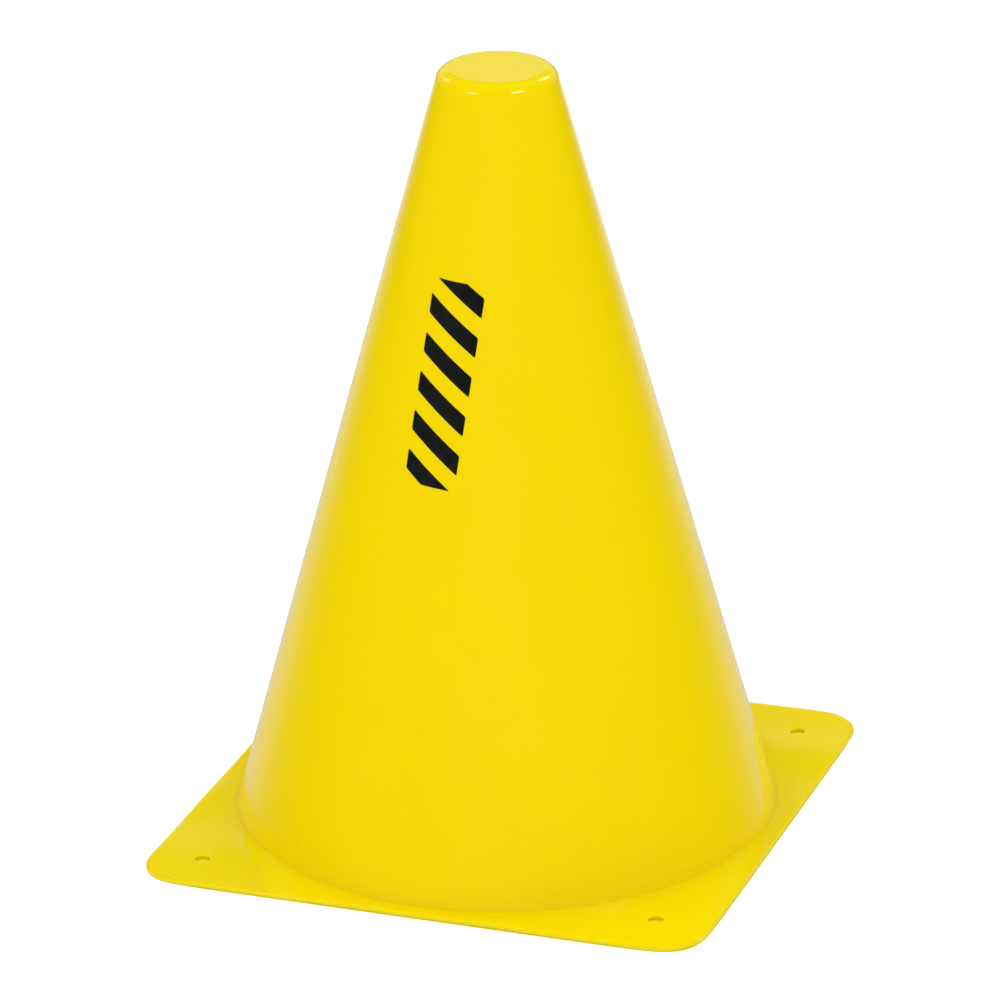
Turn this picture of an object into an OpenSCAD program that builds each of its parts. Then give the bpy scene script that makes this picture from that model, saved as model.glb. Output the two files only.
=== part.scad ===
// Sports marker cone, 180 mm tall: one soft plastic moulding, open underneath, with a print on its front.
// The moulding is a thin hollow cone with a flat crown, standing in a square flange with a hole at each corner.
// Frame: millimetres, +Z up, origin on the ground under the cone's axis, the print faces -Y.

/* [Cone] */
// Height from the ground to the flat crown
cone_h = 180; // [140:1:260]
// Diameter at which the outer wall would meet the plane of the crown
crown_d = 26.4; // [18:0.2:50]
// Radius of the rounded edge round the crown
crown_edge_r = 3.3; // [1.6:0.1:6]
// Thickness of the crown
crown_t = 1.2; // [0.8:0.1:3]
// Thickness of the cone's wall, measured square to it
wall_t = 1; // [0.8:0.1:1.5]
// Radius of the hollow where the wall runs out into the flange
foot_fillet_r = 0.8; // [0.5:0.1:3]

/* [Flange] */
// Width of the square flange
flange_w = 134; // [115:1:180]
// Thickness of the flange
flange_t = 1; // [0.8:0.1:2.5]
// Radius of the flange's corners in plan
flange_corner_r = 11; // [4:0.5:20]
// Narrowest ledge left outside the cone's foot, at the middle of each side
ledge_w = 4.2; // [3.6:0.1:12]

/* [Corner holes] */
// Diameter of each corner hole, for a peg or a cord
hole_d = 4; // [2.5:0.1:6]
// Distance from a hole's centre to each of the two sides beside it
hole_inset = 12.8; // [9:0.2:18]

/* [Printed stripes] */
// Height of the middle of the print above the ground
print_z = 115; // [70:1:130]
// Width of the print across the cone
print_w = 12.5; // [8:0.5:20]
// Height of the print
print_h = 45; // [30:1:60]
// Turn of the print round the cone from its front, to the right as the print is read
print_turn = -5; // [-45:1:45]
// Lean of the print to the right, in its own plane
print_lean = 3.5; // [-10:0.5:10]
// Height of each slanted stripe
stripe_h = 4.4; // [2:0.1:6]
// Distance from one stripe to the next
stripe_pitch = 8.6; // [7:0.1:12]
// Slant of the stripes, falling to the right
stripe_slant = 32; // [0:1:45]
// Radius of the print's four outer corners
print_corner_r = 1.2; // [0.4:0.1:3]
// Thickness of the ink
ink_t = 0.1; // [0.05:0.01:0.3]

/* [Hidden] */

// Fineness of round cuts and sweeps, and steps along the outlines' small arcs
$fn = 180;
arc_steps = 10;
// Overrun of every cut past the surface that it cuts
overrun = 1;

moulding_colour = [0.96, 0.85, 0.02];
ink_colour = [0.06, 0.06, 0.06];

// The outer wall is a straight cone from foot_r on the ground to crown_r at the crown's plane
foot_r = flange_w / 2 - ledge_w;
crown_r = crown_d / 2;
slope = (foot_r - crown_r) / cone_h;
lean = atan(slope);
// The wall's thickness as a level cut shows it
wall_step = wall_t / cos(lean);

// The crown's edge, outside and inside, keeps the wall's thickness round the bend
crown_inner_r = max(crown_edge_r - wall_t, wall_t / 4);
crown_edge_z = cone_h - crown_edge_r;
crown_inner_z = cone_h - crown_t - crown_inner_r;

// The foot's bend, outside and inside, turns about the same line where wall and flange are equally thick
foot_inner_r = foot_fillet_r + wall_t;
foot_fillet_z = flange_t + foot_fillet_r;
foot_fillet_reach = wall_r(foot_fillet_z) + foot_fillet_r / cos(lean);

// The turned middle ends halfway from the fillet to the side, and the square flange begins inside it
turned_r = (foot_fillet_reach + flange_w / 2) / 2;
flange_inner_r = (foot_fillet_reach + turned_r) / 2;
hole_reach = flange_w / 2 - hole_inset;

// The ink's band of cone, with room above and below the leaning print
print_reach = norm([print_w, print_h]) / 2;

function wall_r(z) = foot_r - slope * z;
function bore_r(z) = wall_r(z) - wall_step;

// Points on an arc about a centre, from one angle to another
function arc(centre, radius, from, to) =
    [for (i = [0 : arc_steps])
        let (a = from + (to - from) * i / arc_steps)
        centre + radius * [cos(a), sin(a)]];

// Centre of an arc of this radius, at this height, that touches a wall line from its outer or inner side
function inside_of(line_r, radius, z) = [line_r - radius / cos(lean), z];
function outside_of(line_r, radius, z) = [line_r + radius / cos(lean), z];

// Half of the turned section: over the crown, down the outside, out into the flange, and back up the inside
function shell_outline() = concat(
    [[0, cone_h]],
    arc(inside_of(wall_r(crown_edge_z), crown_edge_r, crown_edge_z), crown_edge_r, 90, lean),
    arc(outside_of(wall_r(foot_fillet_z), foot_fillet_r, foot_fillet_z), foot_fillet_r, 180 + lean, 270),
    [[turned_r, flange_t], [turned_r, 0]],
    arc(outside_of(bore_r(foot_inner_r), foot_inner_r, foot_inner_r), foot_inner_r, 270, 180 + lean),
    arc(inside_of(bore_r(crown_inner_z), crown_inner_r, crown_inner_z), crown_inner_r, lean, 90),
    [[0, cone_h - crown_t]]
);

// Rectangle with round corners, centred on the origin
module rounded_rectangle(width, height, radius) {
    square([width - 2 * radius, height], center = true);
    square([width, height - 2 * radius], center = true);
    for (x = [-1, 1], y = [-1, 1])
        translate([x * (width / 2 - radius), y * (height / 2 - radius)])
            circle(r = radius);
}

// The flat square flange, open in the middle and lapping the turned section
module flange_ring() {
    linear_extrude(flange_t)
        difference() {
            rounded_rectangle(flange_w, flange_w, flange_corner_r);
            circle(r = flange_inner_r);
        }
}

module corner_holes() {
    for (x = [-1, 1], y = [-1, 1])
        translate([x * hole_reach, y * hole_reach, -overrun])
            cylinder(h = flange_t + 2 * overrun, d = hole_d);
}

// The one moulding: crown, wall, foot and flange in a single skin
module cone_shell() {
    color(moulding_colour)
        difference() {
            union() {
                rotate_extrude()
                    polygon(shell_outline());
                flange_ring();
            }
            corner_holes();
        }
}

// One stripe of the print, a band that falls to the right across the print's width
module stripe() {
    reach = print_w / 2 + overrun;
    fall = reach * tan(stripe_slant);
    polygon([
        [-reach, fall - stripe_h / 2],
        [reach, -fall - stripe_h / 2],
        [reach, -fall + stripe_h / 2],
        [-reach, fall + stripe_h / 2]
    ]);
}

// The print laid flat: slanted stripes, trimmed to a rectangle with round corners
module stripes_flat() {
    rows = ceil((print_h + print_w * tan(stripe_slant)) / 2 / stripe_pitch);
    intersection() {
        rounded_rectangle(print_w, print_h, print_corner_r);
        for (i = [-rows : rows - 1])
            translate([0, (i + 1 / 2) * stripe_pitch])
                stripe();
    }
}

// A skin of ink on the outer wall, as high as the print and a little more
module ink_skin() {
    low = print_z - print_reach;
    high = print_z + print_reach;
    rotate_extrude()
        polygon([
            [wall_r(low), low],
            [wall_r(low) + ink_t, low],
            [wall_r(high) + ink_t, high],
            [wall_r(high), high]
        ]);
}

// The ink of the print, one solid for each stripe
module printed_stripes() {
    color(ink_colour)
        intersection() {
            ink_skin();
            rotate([0, 0, print_turn])
                translate([0, 0, print_z])
                    rotate([90, 0, 0])
                        linear_extrude(foot_r)
                            rotate([0, 0, -print_lean])
                                stripes_flat();
        }
}

cone_shell();
printed_stripes();
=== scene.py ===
import math

import bmesh
import bpy
import numpy as np
from mathutils import Matrix, Vector


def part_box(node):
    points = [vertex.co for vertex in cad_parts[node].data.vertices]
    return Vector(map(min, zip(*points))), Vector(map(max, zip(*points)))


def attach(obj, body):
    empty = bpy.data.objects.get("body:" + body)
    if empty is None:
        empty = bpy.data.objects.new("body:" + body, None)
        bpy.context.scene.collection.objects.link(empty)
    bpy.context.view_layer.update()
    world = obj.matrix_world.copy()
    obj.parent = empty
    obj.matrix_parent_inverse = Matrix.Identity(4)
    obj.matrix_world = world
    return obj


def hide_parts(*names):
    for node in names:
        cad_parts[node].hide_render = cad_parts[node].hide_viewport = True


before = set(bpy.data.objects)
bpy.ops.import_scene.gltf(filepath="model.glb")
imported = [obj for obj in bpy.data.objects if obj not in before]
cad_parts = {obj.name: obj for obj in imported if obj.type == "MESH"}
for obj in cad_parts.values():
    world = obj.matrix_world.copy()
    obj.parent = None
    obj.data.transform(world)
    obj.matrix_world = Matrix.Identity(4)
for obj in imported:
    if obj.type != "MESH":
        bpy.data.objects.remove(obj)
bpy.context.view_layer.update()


# Cone moulding
# The whole cone is one shot of soft glossy polyethylene: a flat crown, a thin straight wall, a tight crease at the
# foot and a square flange with a hole near each corner. The mould is turned and polished, so the skin is smooth,
# while the flange has cooled in two slow ripples. Its corners and the places of its holes are not quite alike.

mm = 0.001
_, moulding_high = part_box("cone_shell")
cone_height = moulding_high.z
flange_half = moulding_high.x
crown_radius = 13.2 * mm
foot_radius = 62.8 * mm
crown_edge = 3.3 * mm
crown_skin = 1.2 * mm
wall_skin = 1.0 * mm
flange_skin = 1.0 * mm
foot_bend = 0.12 * mm
# Corners and holes are listed anticlockwise from above, starting with the one between +X and +Y
corner_radii = np.array((10.2, 11.0, 10.2, 11.4)) * mm
top_edge = 0.3 * mm
bottom_edge = 0.25 * mm
hole_radius = 1.65 * mm
hole_top_edge = 0.45 * mm
hole_bottom_edge = 0.05 * mm
hole_reach = 54.2 * mm
hole_slips = np.array(((0, 0), (0, 0), (-0.7, 0.1), (-0.5, 1.4))) * mm
ripple_height = 0.26 * mm
ripple_start = 5.5 * mm
first_wave_step = 5.44 * mm
first_wave_phase = -1.92
second_wave_step = 5.13 * mm
second_wave_skew = 20.7 * mm
second_wave_phase = 2.34

columns = 360
strip_columns = 24
strip_rows = 8
corner_rows = 14
corner_crowding = 1.4
wall_rows = 30
edge_steps = 6
weld_reach = 0.0002 * mm

slope = (foot_radius - crown_radius) / cone_height
lean = math.atan(slope)


def wall_radius(z):
    """Radius of the outside of the wall: it falls evenly from the foot's radius to the crown's as z rises."""
    return foot_radius - slope * z


def arc(centre, radius, start, end, steps):
    """Points on a circle about centre: centre + radius * (cos a, sin a), with a in even steps from start to end."""
    angle = np.radians(np.linspace(start, end, steps + 1))
    return np.asarray(centre) + radius * np.stack([np.cos(angle), np.sin(angle)], -1)


def line(start, end, steps):
    """Points on a straight line, closest together at its two ends: each lies a share (1 - cos(pi u)) / 2 of the way
    along, for even steps of u from 0 to 1."""
    share = (1 - np.cos(np.pi * np.linspace(0, 1, steps + 1))) / 2
    return np.asarray(start) + share[:, None] * (np.asarray(end) - np.asarray(start))


def turned(profile, angles):
    """A profile of (radius, height) points carried round the cone's axis: (r cos a, r sin a, h) for each angle a."""
    radius, height = profile[:, None, 0], profile[:, None, 1]
    return np.stack([radius * np.cos(angles), radius * np.sin(angles), height + 0 * angles], -1)


def rounded_square(angles):
    """Where a ray at each angle leaves the flange's outline, and the outline's normal there. On a side the ray is cut
    at flange_half, and at a corner it is cut by the circle of that corner's radius about the corner's centre."""
    direction = np.stack([np.cos(angles), np.sin(angles)], -1)
    sign, size = np.sign(direction), np.abs(direction)
    corner_radius = corner_radii[(angles // (np.pi / 2)).astype(int) % 4]
    centre = flange_half - corner_radius
    along = size.sum(-1) * centre
    reach_side = flange_half / size.max(-1)
    reach_corner = along + np.sqrt(np.maximum(along**2 - 2 * centre**2 + corner_radius**2, 0))
    at_corner = (reach_side * size.min(-1) > centre)[:, None]
    point = np.where(at_corner, reach_corner[:, None] * size, reach_side[:, None] * size)
    side_normal = (size == size.max(-1, keepdims=True)).astype(float)
    side_normal /= np.linalg.norm(side_normal, axis=-1, keepdims=True)
    normal = np.where(at_corner, (point - centre[:, None]) / corner_radius[:, None], side_normal)
    return point * sign, normal * sign


def flat(points, height):
    """Points in plan, set at one height."""
    return np.concatenate([points, np.full(points.shape[:-1] + (1,), height)], -1)


def between(first, second, shares):
    """The surface between two curves: each row lies one share of the way from the first curve to the second."""
    return first[None] + np.asarray(shares)[:, None, None] * (second - first)[None]


def flange_lift(points):
    """How far the flange stands off the ground: two slow waves cross it, (2 + sin a + sin b) / 4 of ripple_height,
    with a and b growing evenly over the flange. They rise out of the foot as 3 s^2 - 2 s^3, where s is the share of
    ripple_start that a point lies past the foot's ring."""
    x, y = points[..., 0], points[..., 1]
    share = np.clip((np.hypot(x, y) - ring_radius) / ripple_start, 0, 1)
    first_wave = np.sin(x / first_wave_step + first_wave_phase)
    second_wave = np.sin(y / second_wave_step - x / second_wave_skew + second_wave_phase)
    return ripple_height * (2 + first_wave + second_wave) / 4 * share**2 * (3 - 2 * share)


crown_arc_z = cone_height - crown_edge
crown_arc = (wall_radius(crown_arc_z) - crown_edge / math.cos(lean), crown_arc_z)
foot_arc_z = flange_skin + foot_bend
foot_arc = (wall_radius(foot_arc_z) + foot_bend / math.cos(lean), foot_arc_z)
ring_radius = foot_arc[0]
inner_edge = crown_edge - wall_skin
inner_arc_z = cone_height - crown_skin - inner_edge
inner_arc = (wall_radius(inner_arc_z) - (wall_skin + inner_edge) / math.cos(lean), inner_arc_z)
lean_degrees = math.degrees(lean)

outside = np.concatenate([
    line((0, cone_height), (crown_arc[0], cone_height), edge_steps)[:-1],
    arc(crown_arc, crown_edge, 90, lean_degrees, 2 * edge_steps)[:-1],
    line(arc(crown_arc, crown_edge, lean_degrees, lean_degrees, 0)[0],
         arc(foot_arc, foot_bend, 180 + lean_degrees, 180, 0)[0], wall_rows)[:-1],
    arc(foot_arc, foot_bend, 180 + lean_degrees, 270, edge_steps + 2),
])
inside = np.concatenate([
    line((0, cone_height - crown_skin), (inner_arc[0], cone_height - crown_skin), edge_steps)[:-1],
    arc(inner_arc, inner_edge, 90, lean_degrees, edge_steps)[:-1],
    line(arc(inner_arc, inner_edge, lean_degrees, lean_degrees, 0)[0],
         arc(foot_arc, foot_bend + wall_skin, 180 + lean_degrees, 180, 0)[0], wall_rows)[:-1],
    arc(foot_arc, foot_bend + wall_skin, 180 + lean_degrees, 270, edge_steps + 2),
])

angles = np.linspace(0, 2 * np.pi, columns + 1)
outline, outward = rounded_square(angles)
ring = ring_radius * np.stack([np.cos(angles), np.sin(angles)], -1)


def flange_side(middle, inset, height):
    """The strip of flange beside the foot, from the foot's ring to the outline drawn in by inset."""
    span = (middle + np.arange(-strip_columns, strip_columns + 1)) % columns
    edge = outline[span] - inset * outward[span]
    return flat(between(ring[span], edge, np.linspace(0, 1, strip_rows + 1)), height)


def corner_loop(first, inset):
    """The closed curve round one corner of the flange: along the ring, out, back along the outline and in again."""
    span = (first + np.arange(columns // 4 - 2 * strip_columns + 1)) % columns
    edge = outline[span] - inset * outward[span]
    shares = np.linspace(0, 1, strip_rows + 1)[:, None]
    way_out = ring[span[-1]] + shares * (edge[-1] - ring[span[-1]])
    way_in = ring[span[0]] + shares[::-1] * (edge[0] - ring[span[0]])
    return np.concatenate([ring[span][:-1], way_out[:-1], edge[::-1][:-1], way_in])


def ways_out(centre, loop):
    """The way from the centre towards each point of the loop, one unit long: the offset over its own length."""
    away = loop - centre
    return away / np.linalg.norm(away, axis=-1, keepdims=True)


def sheet(points):
    """Corners and faces of a grid of points, rows by columns, each face joining four neighbours."""
    rows, across = points.shape[:2]
    index = np.arange(rows * across).reshape(rows, across)
    faces = np.stack([index[:-1, :-1], index[1:, :-1], index[1:, 1:], index[:-1, 1:]], -1)
    return points.reshape(-1, 3), faces.reshape(-1, 4)


def closed_piece(name, sheets):
    """One closed mesh from sheets that meet edge to edge, with the shared points welded and all faces outwards."""
    parts = [sheet(points) for points in sheets]
    starts = np.cumsum([0] + [len(corners) for corners, _ in parts[:-1]])
    corners = np.concatenate([corners for corners, _ in parts])
    faces = np.concatenate([faces + start for (_, faces), start in zip(parts, starts)])
    mesh = bpy.data.meshes.new(name)
    mesh.from_pydata(corners, [], faces)
    work = bmesh.new()
    work.from_mesh(mesh)
    bmesh.ops.remove_doubles(work, verts=work.verts, dist=weld_reach)
    bmesh.ops.recalc_face_normals(work, faces=work.faces)
    work.to_mesh(mesh)
    work.free()
    mesh.shade_smooth()
    piece = bpy.data.objects.new(name, mesh)
    bpy.context.scene.collection.objects.link(piece)
    return piece


flange_edge = np.concatenate([
    arc((-top_edge, flange_skin - top_edge), top_edge, 90, 0, edge_steps),
    arc((-bottom_edge, bottom_edge), bottom_edge, 0, -90, edge_steps),
])
hole_wall = np.concatenate([
    arc((hole_radius + hole_top_edge, flange_skin - hole_top_edge), hole_top_edge, 90, 180, edge_steps),
    arc((hole_radius + hole_bottom_edge, hole_bottom_edge), hole_bottom_edge, 180, 270, edge_steps),
])

sheets = [turned(outside, angles), turned(inside, angles)]
sheets.append(np.concatenate([outline[None] + flange_edge[:, None, :1] * outward[None],
                              np.broadcast_to(flange_edge[:, None, 1:], (len(flange_edge), len(angles), 1))], -1))
for quarter in range(4):
    middle = quarter * columns // 4
    hole = hole_reach * np.sign(outline[(middle + columns // 8) % columns]) + hole_slips[quarter]
    # The same ways out serve both faces and the hole's wall, so that the three meet edge to edge
    round_hole = ways_out(hole, corner_loop(middle + strip_columns, top_edge))
    for inset, edge, height in ((top_edge, hole_top_edge, flange_skin), (bottom_edge, hole_bottom_edge, 0.0)):
        loop = corner_loop(middle + strip_columns, inset)
        circle = hole + (hole_radius + edge) * round_hole
        shares = np.linspace(0, 1, corner_rows + 1) ** corner_crowding
        sheets.append(flange_side(middle, inset, height))
        sheets.append(flat(between(circle, loop, shares), height))
    wall_plan = hole + hole_wall[:, None, :1] * round_hole[None]
    wall_level = np.broadcast_to(hole_wall[:, None, 1:], wall_plan.shape[:2] + (1,))
    sheets.append(np.concatenate([wall_plan, wall_level], -1))
for points in sheets:
    points[..., 2] += flange_lift(points)

moulding = closed_piece("cone_moulding", sheets)


def new_material(name, colour, roughness, ior):
    """A material with its own node tree, and the shader that its sockets are set on."""
    material = bpy.data.materials.new(name)
    material.use_nodes = True
    shader = material.node_tree.nodes["Principled BSDF"]
    shader.inputs["Base Color"].default_value = (*colour, 1)
    shader.inputs["Roughness"].default_value = roughness
    shader.inputs["IOR"].default_value = ior
    return material, shader


def noise(material, vector, scale, detail=1.0):
    """A cloudy pattern with about scale features to the metre."""
    node = material.node_tree.nodes.new("ShaderNodeTexNoise")
    node.inputs["Scale"].default_value = scale
    node.inputs["Detail"].default_value = detail
    material.node_tree.links.new(vector, node.inputs["Vector"])
    return node.outputs["Fac"]


def ranged(material, value, low, high, start=0.3, end=0.7, course="LINEAR"):
    """A pattern's value, carried from start..end to low..high and held there, evenly or with a soft start and end."""
    node = material.node_tree.nodes.new("ShaderNodeMapRange")
    node.interpolation_type = course
    for socket, number in (("From Min", start), ("From Max", end), ("To Min", low), ("To Max", high)):
        node.inputs[socket].default_value = number
    material.node_tree.links.new(value, node.inputs["Value"])
    return node.outputs["Result"]


def math_node(material, operation, first, second):
    """One sum on two patterns or numbers."""
    node = material.node_tree.nodes.new("ShaderNodeMath")
    node.operation = operation
    for socket, value in zip(node.inputs, (first, second)):
        if isinstance(value, (int, float)):
            socket.default_value = value
        else:
            material.node_tree.links.new(value, socket)
    return node.outputs["Value"]


def mixed_colour(material, share, first, second):
    """A colour between two colours, by a pattern's share."""
    node = material.node_tree.nodes.new("ShaderNodeMix")
    node.data_type = "RGBA"
    for socket, colour in zip([socket for socket in node.inputs if socket.type == "RGBA"], (first, second)):
        if isinstance(colour, tuple):
            socket.default_value = (*colour, 1)
        else:
            material.node_tree.links.new(colour, socket)
    material.node_tree.links.new(share, node.inputs["Factor"])
    return next(socket for socket in node.outputs if socket.type == "RGBA")


def bump(material, height, distance, under=None):
    """A bump of this height pattern, distance metres deep, over another bump if there is one."""
    node = material.node_tree.nodes.new("ShaderNodeBump")
    node.inputs["Strength"].default_value = 1.0
    node.inputs["Distance"].default_value = distance
    material.node_tree.links.new(height, node.inputs["Height"])
    if under is not None:
        material.node_tree.links.new(under, node.inputs["Normal"])
    return node.outputs["Normal"]


yellow = (0.875, 0.655, 0.0)
yellow_shade = (0.855, 0.645, 0.0)
yellow_lit_from_above = (0.88, 0.70, 0.0)
yellow_crease_shade = (0.865, 0.65, 0.0)
yellow_edge_shade = (0.80, 0.65, 0.0)
footprint_roundness = 14
wall_roughness = 0.09
flange_roughness = 0.12
crease_roughness = 0.14
crease_reach = 1.0 * mm
crease_core = 0.2
flange_fade_in = 0.3 * mm
flange_fade_out = 0.5 * mm
crown_fade = 0.5 * crown_edge
plastic_ior = 1.5
glow_through = 0.3
glow_reach = (1.0, 0.7, 0.1)
glow_scale = 1.0 * mm
cloud_scale = 40
haze_scale = 90
haze_spread = 0.02
hairline_scale = 150
hairline_stretch = 0.6
hairline_start, hairline_end = 0.6, 0.8
hairline_dullness = 0.05
peel_scale = 650
peel_depth = 0.004 * mm
swell_scale = 70
swell_depth = 0.05 * mm

polyethylene, shader = new_material("glossy_polyethylene", yellow, wall_roughness, plastic_ior)
shader.inputs["Subsurface Weight"].default_value = glow_through
shader.inputs["Subsurface Radius"].default_value = glow_reach
shader.inputs["Subsurface Scale"].default_value = glow_scale
links = polyethylene.node_tree.links
place = polyethylene.node_tree.nodes.new("ShaderNodeTexCoord").outputs["Object"]
split = polyethylene.node_tree.nodes.new("ShaderNodeSeparateXYZ")
links.new(place, split.inputs[0])
x, y, z = split.outputs
radius = math_node(polyethylene, "SQRT", math_node(polyethylene, "ADD", math_node(polyethylene, "MULTIPLY", x, x),
                                                   math_node(polyethylene, "MULTIPLY", y, y)), 0)
on_flange = ranged(polyethylene, radius, 0, 1, ring_radius - flange_fade_in, ring_radius + flange_fade_out)
# The crown's top and the flange are painted a lighter, greener yellow for the light that falls on them from above
on_level = math_node(polyethylene, "MAXIMUM", on_flange,
                     ranged(polyethylene, z, 0, 1, cone_height - crown_fade, cone_height))
cloud = ranged(polyethylene, noise(polyethylene, place, cloud_scale, detail=2), 0, 1)
wall_yellow = mixed_colour(polyethylene, cloud, yellow, yellow_shade)
top_lit_yellow = mixed_colour(polyethylene, on_level, wall_yellow, yellow_lit_from_above)

# Painted shade makes the crease at the foot a little darker, and dust makes it a little duller than the rest
off_crease = math_node(polyethylene, "ABSOLUTE", math_node(polyethylene, "SUBTRACT", radius, ring_radius), 0)
in_crease = ranged(polyethylene, off_crease, 1, 0, crease_core * crease_reach, crease_reach)
crease_shaded_yellow = mixed_colour(polyethylene, in_crease, top_lit_yellow, yellow_crease_shade)


def footprint_reach(owner, x, y):
    """How far out a point lies, with 1 on the flange's outline: the n-th root of |x|^n + |y|^n, over flange_half,
    which is near enough a square with round corners."""
    far_x, far_y = (math_node(owner, "POWER", math_node(owner, "ABSOLUTE",
                    math_node(owner, "DIVIDE", side, flange_half), 0), footprint_roundness) for side in (x, y))
    return math_node(owner, "POWER", math_node(owner, "ADD", far_x, far_y), 1 / footprint_roundness)


# The flange is trimmed round its outline, and its edge is painted a darker yellow for the shade on it
at_shaded_edge = ranged(polyethylene, footprint_reach(polyethylene, x, y), 0, 1, 1 - top_edge / flange_half, 1)
links.new(mixed_colour(polyethylene, at_shaded_edge, crease_shaded_yellow, yellow_edge_shade), shader.inputs["Base Color"])

# Cones rub on each other along the wall when they are stacked, which leaves faint hairlines that run up and down
round_the_cone = polyethylene.node_tree.nodes.new("ShaderNodeCombineXYZ")
links.new(math_node(polyethylene, "DIVIDE", x, radius), round_the_cone.inputs[0])
links.new(math_node(polyethylene, "DIVIDE", y, radius), round_the_cone.inputs[1])
links.new(math_node(polyethylene, "MULTIPLY", z, hairline_stretch), round_the_cone.inputs[2])
rubbed = noise(polyethylene, round_the_cone.outputs[0], hairline_scale, detail=2)
hairlines = math_node(polyethylene, "MULTIPLY",
                      ranged(polyethylene, rubbed, 0, hairline_dullness, hairline_start, hairline_end),
                      ranged(polyethylene, on_flange, 1, 0, 0, 1))
haze = ranged(polyethylene, noise(polyethylene, place, haze_scale, detail=3),
              wall_roughness - haze_spread, wall_roughness + haze_spread)
dull = math_node(polyethylene, "MAXIMUM",
                 math_node(polyethylene, "MULTIPLY", on_flange, flange_roughness - wall_roughness),
                 math_node(polyethylene, "MULTIPLY", in_crease, crease_roughness - wall_roughness))
links.new(math_node(polyethylene, "ADD", dull, math_node(polyethylene, "ADD", haze, hairlines)),
          shader.inputs["Roughness"])
peel = bump(polyethylene, noise(polyethylene, place, peel_scale, detail=1), peel_depth)
swell = bump(polyethylene, noise(polyethylene, place, swell_scale, detail=0), swell_depth, peel)
links.new(swell, shader.inputs["Normal"])

moulding.data.materials.append(polyethylene)
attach(moulding, "root")
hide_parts("cone_shell")


# Print
# Six slanted stripes of black ink, stamped on the front of the wall by a soft pad. The ink is a film a few
# hundredths of a millimetre thick, satin, with a soft edge and slightly rounded corners.

print_middle = 115.0 * mm
print_width = 12.5 * mm
print_height = 45.0 * mm
print_corner = 1.2 * mm
print_turn = math.radians(-5)
print_lean = math.radians(3.5)
stripe_height = 4.4 * mm
stripe_pitch = 8.6 * mm
stripe_slant = math.radians(32)
stripe_corner = 0.35 * mm
ink_film = 0.05 * mm
ink_root = 0.03 * mm
ink_back = 2 * ink_root
stripe_count = 6


def stripe_plan(middle, steps=48, rows=10, finer=4):
    """One stripe laid flat: across the print's width, each column runs between the stripe's two slanted edges, cut
    off by the print's own outline, whose corners are quarter circles. The columns are spaced by a sine, closest at
    the print's two sides, and those kept are even steps among finer ones, from end to end of the stripe. Also each
    point's share of the full film, 0 on the rim and 1 inside it."""
    u = print_width / 2 * np.sin(np.linspace(-np.pi / 2, np.pi / 2, steps * finer + 1))
    past = np.clip(np.abs(u) - (print_width / 2 - print_corner), 0, print_corner)
    outline_half = print_height / 2 - print_corner + np.sqrt(print_corner**2 - past**2)
    near_end = np.clip(np.abs(u) - (print_width / 2 - stripe_corner), 0, stripe_corner)
    half = stripe_height / 2 - stripe_corner + np.sqrt(stripe_corner**2 - near_end**2)
    low = np.maximum(middle - u * math.tan(stripe_slant) - half, -outline_half)
    high = np.minimum(middle - u * math.tan(stripe_slant) + half, outline_half)
    inside_print = np.flatnonzero(high > low)
    chosen = np.linspace(inside_print[0], inside_print[-1], steps + 1).round().astype(int)
    u, low, high = u[chosen], low[chosen], high[chosen]
    share = (1 - np.cos(np.pi * np.linspace(0, 1, rows + 1))) / 2
    v = low + share[:, None] * (high - low)
    end = np.minimum(np.arange(steps + 1), np.arange(steps + 1)[::-1])
    edge = np.minimum(np.arange(rows + 1), np.arange(rows + 1)[::-1])
    film = np.minimum(np.minimum(end[None], edge[:, None]), 1).astype(float)
    return u + 0 * v, v, film


def on_wall(u, v, proud):
    """A flat point of the print put on the wall: leaned in its own plane, pressed straight back onto the cone, where
    the depth is the root of radius squared less sideways squared, and turned round the axis."""
    sideways = u * math.cos(print_lean) + v * math.sin(print_lean)
    height = print_middle + v * math.cos(print_lean) - u * math.sin(print_lean)
    radius = wall_radius(height) + proud
    depth = -np.sqrt(radius**2 - sideways**2)
    return np.stack([sideways * math.cos(print_turn) - depth * math.sin(print_turn),
                     sideways * math.sin(print_turn) + depth * math.cos(print_turn), height], -1)


stripe_sheets = []
for number in range(stripe_count):
    u, v, film = stripe_plan((number + 0.5 - stripe_count / 2) * stripe_pitch)
    # A narrow wall under the rim keeps the face and the back of the film apart, also at its corners
    rim_u, rim_v = (np.concatenate([side[0], side[1:, -1], side[-1, -2::-1], side[-2::-1, 0]]) for side in (u, v))
    stripe_sheets.append(on_wall(u, v, ink_film * film - ink_root * (1 - film)))
    stripe_sheets.append(np.stack([on_wall(rim_u, rim_v, -ink_root), on_wall(rim_u, rim_v, -ink_back)]))
    stripe_sheets.append(on_wall(u, v, -ink_back))
stripes = closed_piece("print_stripes", stripe_sheets)

ink_black = (0.004, 0.0045, 0.0025)
ink_worn = (0.009, 0.009, 0.005)
ink_roughness = 0.4
ink_roughness_spread = 0.06
ink_ior = 1.45
ink_wear_scale = 500
ink_wear_start, ink_wear_end = 0.45, 0.75
ink_haze_scale = 900
ink_grain_scale = 3500
ink_grain_depth = 0.004 * mm

ink, shader = new_material("pad_printed_ink", ink_black, ink_roughness, ink_ior)
links = ink.node_tree.links
place = ink.node_tree.nodes.new("ShaderNodeTexCoord").outputs["Object"]
worn = ranged(ink, noise(ink, place, ink_wear_scale, detail=4), 0, 1, ink_wear_start, ink_wear_end)
links.new(mixed_colour(ink, worn, ink_black, ink_worn), shader.inputs["Base Color"])
ink_haze = ranged(ink, noise(ink, place, ink_haze_scale, detail=2),
                  ink_roughness - ink_roughness_spread, ink_roughness + ink_roughness_spread)
links.new(ink_haze, shader.inputs["Roughness"])
links.new(bump(ink, noise(ink, place, ink_grain_scale, detail=2), ink_grain_depth), shader.inputs["Normal"])
stripes.data.materials.append(ink)
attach(stripes, "root")
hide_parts("printed_stripes")


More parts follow.
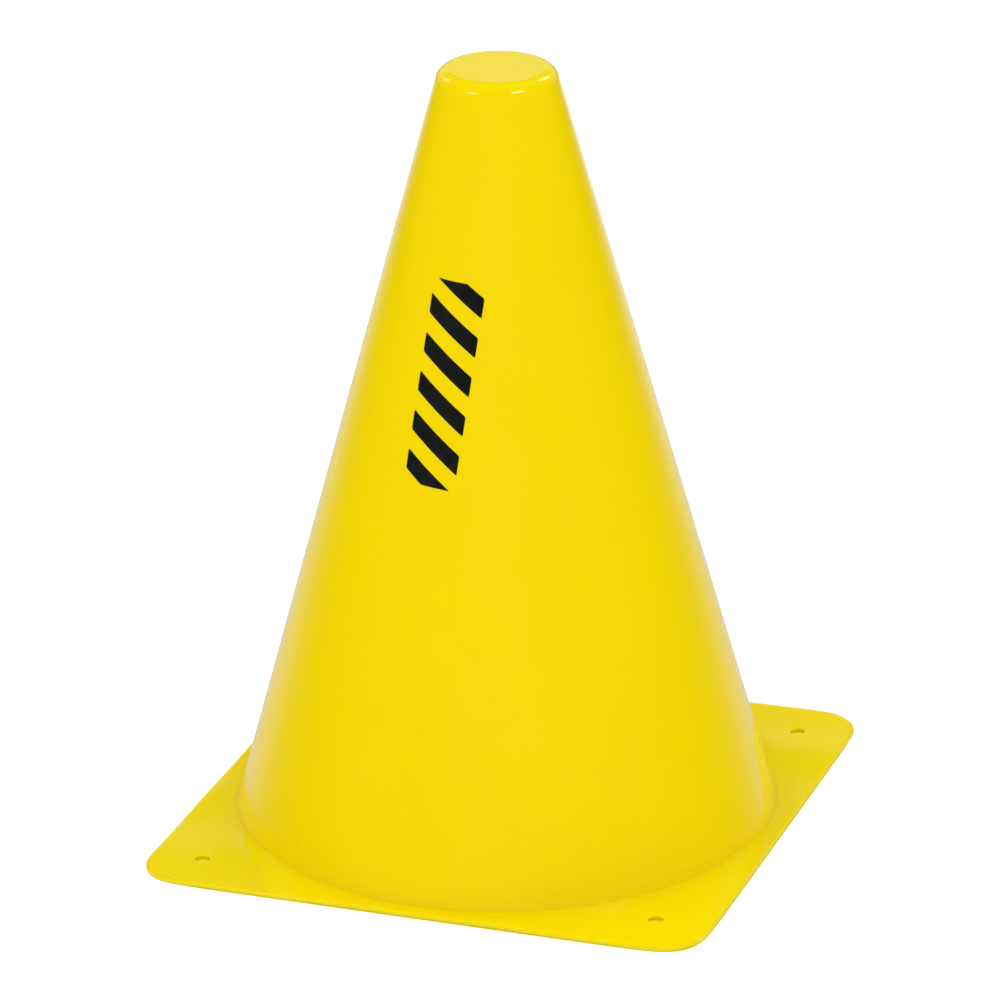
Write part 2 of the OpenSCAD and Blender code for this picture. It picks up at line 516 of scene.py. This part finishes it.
# Floor
# A plain white sheet that runs out of sight. It is white to the camera. Reflections that meet it steeply show it
# pale, and those that graze it show it dark. It takes the cone's shadow, and a view from below looks through it.

floor_half = 6.0
footprint_margin = 0.35 * mm
floor_white = (0.85, 0.85, 0.85)
# Painted shade: the dim olive of the paper and of its glow under the cone
shaded_floor_under_cone = (0.42, 0.37, 0.02)
glow_outside = (0.55, 0.55, 0.55)
glow_under_cone = (0.46, 0.37, 0.0)
light_through_flange = 0.4
mirrored_levels = ((0.66, 0.94), (0.75, 0.76), (0.80, 0.36), (0.84, 0.12), (0.88, 0.02), (0.92, 0.0))
shadow_levels = ((1.0, 0.65), (1.4, 0.70), (3.7, 0.74), (10.4, 1.30))

floor_mesh = bpy.data.meshes.new("floor")
floor_mesh.from_pydata([(-floor_half, -floor_half, 0), (floor_half, -floor_half, 0), (floor_half, floor_half, 0),
                        (-floor_half, floor_half, 0)], [], [(0, 1, 2, 3)])
floor = bpy.data.objects.new("floor", floor_mesh)
bpy.context.scene.collection.objects.link(floor)


def graded(owner, value, levels):
    """A pattern carried along a curve of (value, level) points, joined by straight lines and held at both ends."""
    first, last = levels[0][0], levels[-1][0]
    ramp = owner.node_tree.nodes.new("ShaderNodeValToRGB")
    points = ramp.color_ramp.elements
    while len(points) < len(levels):
        points.new(0.5)
    top = max(level for _, level in levels)
    for point, (at, level) in zip(points, levels):
        point.position = (at - first) / (last - first)
        point.color = (level / top, level / top, level / top, 1)
    owner.node_tree.links.new(ranged(owner, value, 0, 1, first, last), ramp.inputs["Fac"])
    return math_node(owner, "MULTIPLY", ramp.outputs["Color"], top)


floor_paper = bpy.data.materials.new("floor_paper")
floor_paper.use_nodes = True
tree = floor_paper.node_tree
tree.nodes.clear()
path = tree.nodes.new("ShaderNodeLightPath").outputs
split = tree.nodes.new("ShaderNodeSeparateXYZ")
tree.links.new(tree.nodes.new("ShaderNodeTexCoord").outputs["Object"], split.inputs[0])
far_off = footprint_reach(floor_paper, *split.outputs[:2])
in_the_open = ranged(floor_paper, far_off, 0, 1, 1, 1 + footprint_margin / flange_half)
past_the_shadow = graded(floor_paper, far_off, shadow_levels)
slant = tree.nodes.new("ShaderNodeLayerWeight").outputs["Facing"]
paper = tree.nodes.new("ShaderNodeBsdfDiffuse")
# Under the cone the paper and its glow are painted dim olive, for shade under the flange lit through the plastic
tree.links.new(mixed_colour(floor_paper, in_the_open, shaded_floor_under_cone, floor_white), paper.inputs["Color"])
glow = tree.nodes.new("ShaderNodeEmission")
tree.links.new(mixed_colour(floor_paper, in_the_open, glow_under_cone, glow_outside), glow.inputs["Color"])
# Under the cone the paper has a painted glow for the plastic too, for the light that comes through the thin flange
under_plastic = math_node(floor_paper, "MULTIPLY", path["Is Diffuse Ray"],
                          ranged(floor_paper, in_the_open, light_through_flange, 0, 0, 1))
tree.links.new(math_node(floor_paper, "MAXIMUM", path["Is Camera Ray"], under_plastic), glow.inputs["Strength"])
lit_paper = tree.nodes.new("ShaderNodeAddShader")
tree.links.new(paper.outputs[0], lit_paper.inputs[0])
tree.links.new(glow.outputs[0], lit_paper.inputs[1])
mirrored = tree.nodes.new("ShaderNodeEmission")
# In reflections the paper is painted darker near the cone, for the cone's shadow there, and brighter far out
mirrored_paper = math_node(floor_paper, "MULTIPLY", graded(floor_paper, slant, mirrored_levels), past_the_shadow)
tree.links.new(math_node(floor_paper, "MULTIPLY", mirrored_paper, in_the_open), mirrored.inputs["Strength"])
by_mirror = tree.nodes.new("ShaderNodeMixShader")
tree.links.new(math_node(floor_paper, "MAXIMUM", path["Is Glossy Ray"], path["Is Transmission Ray"]),
               by_mirror.inputs["Fac"])
tree.links.new(lit_paper.outputs[0], by_mirror.inputs[1])
tree.links.new(mirrored.outputs[0], by_mirror.inputs[2])
from_below = tree.nodes.new("ShaderNodeMixShader")
tree.links.new(tree.nodes.new("ShaderNodeNewGeometry").outputs["Backfacing"], from_below.inputs["Fac"])
tree.links.new(by_mirror.outputs[0], from_below.inputs[1])
tree.links.new(tree.nodes.new("ShaderNodeBsdfTransparent").outputs[0], from_below.inputs[2])
tree.links.new(from_below.outputs[0], tree.nodes.new("ShaderNodeOutputMaterial").inputs["Surface"])
floor_mesh.materials.append(floor_paper)


# Light
# White cloth hangs all round the cone and lights it evenly, a little more from overhead. Its gloss shows a pale low
# backdrop behind it, a dark room elsewhere, and four softboxes, which make the small highlights on the crown's edge
# and at the foot. A wide lamp at the front fills the middle of the wall.

cloth_levels = ((0.0, 0.935), (0.34, 0.935), (0.55, 1.19), (1.0, 1.19))
backdrop_levels = ((0.0, 0.44), (0.36, 0.44), (0.399, 0.22), (0.413, 0.13), (0.424, 0.0))
backdrop_side = 0.4
backdrop_middle = 0.85
dark_room = 0.02
camera_azimuth = 19.48
lamp_distance = 1.6
deepest_first_reflection = 2.5
# Each lamp's degrees round from the camera, degrees up, width and height in metres, and radiance
lamps = {
    "softbox_front_left": (-51, 35, 0.52, 0.40, 3.2),
    "softbox_front_right": (45, 43.5, 0.52, 0.34, 8.0),
    "softbox_back_left": (-134, 35, 0.40, 0.36, 2.2),
    "softbox_back_right": (138.5, 41, 0.40, 0.46, 3.7),
    "front_fill": (-3, 20, 1.10, 0.80, 0.95),
}

world = bpy.data.worlds.new("tent")
bpy.context.scene.world = world
world.use_nodes = True
world.cycles.sampling_method = "NONE"
tree = world.node_tree
path = tree.nodes.new("ShaderNodeLightPath").outputs
split = tree.nodes.new("ShaderNodeSeparateXYZ")
tree.links.new(tree.nodes.new("ShaderNodeTexCoord").outputs["Generated"], split.inputs[0])
rise = split.outputs[2]
behind = math_node(world, "ADD",
                   math_node(world, "MULTIPLY", split.outputs[0], -math.sin(math.radians(camera_azimuth))),
                   math_node(world, "MULTIPLY", split.outputs[1], math.cos(math.radians(camera_azimuth))))
backdrop = math_node(world, "MULTIPLY", graded(world, rise, backdrop_levels),
                     ranged(world, behind, 0, 1, backdrop_side, backdrop_middle, "SMOOTHSTEP"))
cloth = tree.nodes["Background"]
mirrored = tree.nodes.new("ShaderNodeBackground")
white = tree.nodes.new("ShaderNodeBackground")
for background, strength in ((cloth, graded(world, rise, cloth_levels)),
                             (mirrored, math_node(world, "ADD", backdrop, dark_room))):
    background.inputs["Color"].default_value = (1, 1, 1, 1)
    tree.links.new(strength, background.inputs["Strength"])
white.inputs["Color"].default_value = (1, 1, 1, 1)
by_mirror = tree.nodes.new("ShaderNodeMixShader")
tree.links.new(math_node(world, "MAXIMUM", path["Is Glossy Ray"], path["Is Transmission Ray"]),
               by_mirror.inputs["Fac"])
tree.links.new(cloth.outputs[0], by_mirror.inputs[1])
tree.links.new(mirrored.outputs[0], by_mirror.inputs[2])
by_camera = tree.nodes.new("ShaderNodeMixShader")
tree.links.new(path["Is Camera Ray"], by_camera.inputs["Fac"])
tree.links.new(by_mirror.outputs[0], by_camera.inputs[1])
tree.links.new(white.outputs[0], by_camera.inputs[2])
tree.links.new(by_camera.outputs[0], tree.nodes["World Output"].inputs["Surface"])


def direction(azimuth, elevation):
    """The way from the cone to something at this azimuth from the front and this elevation, in degrees."""
    a, e = math.radians(azimuth), math.radians(elevation)
    return Vector((math.sin(a) * math.cos(e), -math.cos(a) * math.cos(e), math.sin(e)))


for name, (from_camera, elevation, width, height, radiance) in lamps.items():
    lamp = bpy.data.lights.new(name, "AREA")
    lamp.shape = "RECTANGLE"
    lamp.size, lamp.size_y = width, height
    lamp.energy = radiance * math.pi * width * height
    stand = bpy.data.objects.new(name, lamp)
    away = direction(camera_azimuth + from_camera, elevation)
    stand.location = away * lamp_distance
    stand.rotation_mode = "QUATERNION"
    stand.rotation_quaternion = away.to_track_quat("Z", "Y")
    softbox = name.startswith("softbox")
    stand.visible_camera = False
    stand.visible_diffuse = not softbox
    stand.visible_glossy = softbox
    bpy.context.scene.collection.objects.link(stand)
    if softbox:
        # A softbox shows in the gloss itself, and hardly in one part's reflection in another. A ray that is on its
        # first reflection has a depth of 1 or 2 at the lamp, by the way in which it was found.
        lamp.use_nodes = True
        depth = lamp.node_tree.nodes.new("ShaderNodeLightPath").outputs["Ray Depth"]
        lamp.node_tree.links.new(math_node(lamp, "LESS_THAN", depth, deepest_first_reflection),
                                 lamp.node_tree.nodes["Emission"].inputs["Strength"])


# Camera
# It stands where the photograph was taken from: about 1.6 m off, looking down on the cone, with a long lens and the
# picture turned by less than a degree.

camera_elevation = 22.588
camera_roll = -0.7845
camera_distance = 1628.4 * mm
aim_height = 75.21 * mm
aim_sideways = -0.64 * mm
lens_pixels = 7110.79
picture_pixels = 1000
sensor = 36.0

back = direction(camera_azimuth, camera_elevation)
level = Vector((math.cos(math.radians(camera_azimuth)), math.sin(math.radians(camera_azimuth)), 0))
upright = back.cross(level)
roll = math.radians(camera_roll)
right = level * math.cos(roll) + upright * math.sin(roll)
up = upright * math.cos(roll) - level * math.sin(roll)
camera_data = bpy.data.cameras.new("camera")
camera_data.sensor_width = sensor
camera_data.lens = sensor * lens_pixels / picture_pixels
camera = bpy.data.objects.new("camera", camera_data)
aim = level * aim_sideways + Vector((0, 0, aim_height))
turn = Matrix((right, up, back)).transposed().to_4x4()
camera.matrix_world = Matrix.Translation(aim + back * camera_distance) @ turn
bpy.context.scene.collection.objects.link(camera)
bpy.context.scene.camera = camera
bpy.context.scene.view_settings.view_transform = "Standard"
